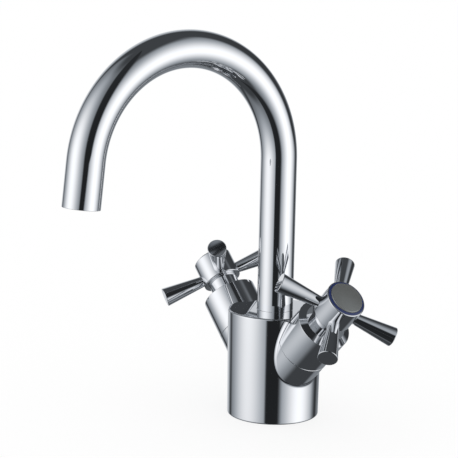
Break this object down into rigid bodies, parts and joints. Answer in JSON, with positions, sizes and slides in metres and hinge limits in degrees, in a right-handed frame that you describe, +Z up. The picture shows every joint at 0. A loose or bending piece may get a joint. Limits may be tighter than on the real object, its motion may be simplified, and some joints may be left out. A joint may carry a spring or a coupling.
{
  "type": "basin mixer tap",
  "caption": "Deck-mounted basin mixer tap with a swivelling swan-neck spout, and a cross handle on each of the hot and cold valves that lean out to the sides.",
  "frame": {"origin": "centre of the body's base, where it stands on the basin", "axes": "+Z up along the spout's riser; the spout points along -Y; the cold valve leans towards +X and the hot valve towards -X"},
  "size_m": [0.1502, 0.1648, 0.2109],
  "materials": {
    "chrome": "polished",
    "brass": "machined",
    "steel": "satin",
    "ceramic": "lapped",
    "rubber": "matt",
    "white_plastic": "matt",
    "grey_cap": "satin",
    "blue_ring": "gloss",
    "red_ring": "gloss"
  },
  "bodies": {
    "tap_body": {"body": "chrome", "base_seal": "rubber", "spout_slip_ring": "white_plastic", "spout_grub_screw": "steel", "cold_bonnet": "chrome", "cold_cartridge": "brass", "cold_cartridge_oring": "rubber", "cold_fixed_disc": "ceramic", "cold_seat_seal": "rubber", "hot_bonnet": "chrome", "hot_cartridge": "brass", "hot_cartridge_oring": "rubber", "hot_fixed_disc": "ceramic", "hot_seat_seal": "rubber"},
    "spout": {"spout_tube": "chrome", "spout_spigot": "brass", "spigot_oring_lower": "rubber", "spigot_oring_upper": "rubber", "outlet_bush": "brass", "aerator_housing": "chrome", "aerator_core": "white_plastic", "aerator_washer": "rubber"},
    "cold_handle": {"cold_moving_disc": "ceramic", "cold_spindle": "brass", "cold_spindle_oring_1": "rubber", "cold_spindle_oring_2": "rubber", "cold_circlip": "steel", "cold_handle_hub": "chrome", "cold_handle_screw": "steel", "cold_index_ring": "blue_ring", "cold_index_cap": "grey_cap", "cold_handle_arm_1": "chrome", "cold_handle_arm_2": "chrome", "cold_handle_arm_3": "chrome", "cold_handle_arm_4": "chrome"},
    "hot_handle": {"hot_moving_disc": "ceramic", "hot_spindle": "brass", "hot_spindle_oring_1": "rubber", "hot_spindle_oring_2": "rubber", "hot_circlip": "steel", "hot_handle_hub": "chrome", "hot_handle_screw": "steel", "hot_index_ring": "red_ring", "hot_index_cap": "grey_cap", "hot_handle_arm_1": "chrome", "hot_handle_arm_2": "chrome", "hot_handle_arm_3": "chrome", "hot_handle_arm_4": "chrome"}
  },
  "joints": [
    {"name": "spout_swivel", "type": "hinge", "parent": "tap_body", "child": "spout", "pos_m": [0, 0, 0.057], "axis": [0, 0, 1], "continuous": true},
    {"name": "cold_handle_turn", "type": "hinge", "parent": "tap_body", "child": "cold_handle", "pos_m": [0, 0, 0.0165], "axis": [0.7071, 0, 0.7071], "range_deg": [0, 90]},
    {"name": "hot_handle_turn", "type": "hinge", "parent": "tap_body", "child": "hot_handle", "pos_m": [0, 0, 0.0165], "axis": [-0.7071, 0, 0.7071], "range_deg": [-90, 0]}
  ]
}
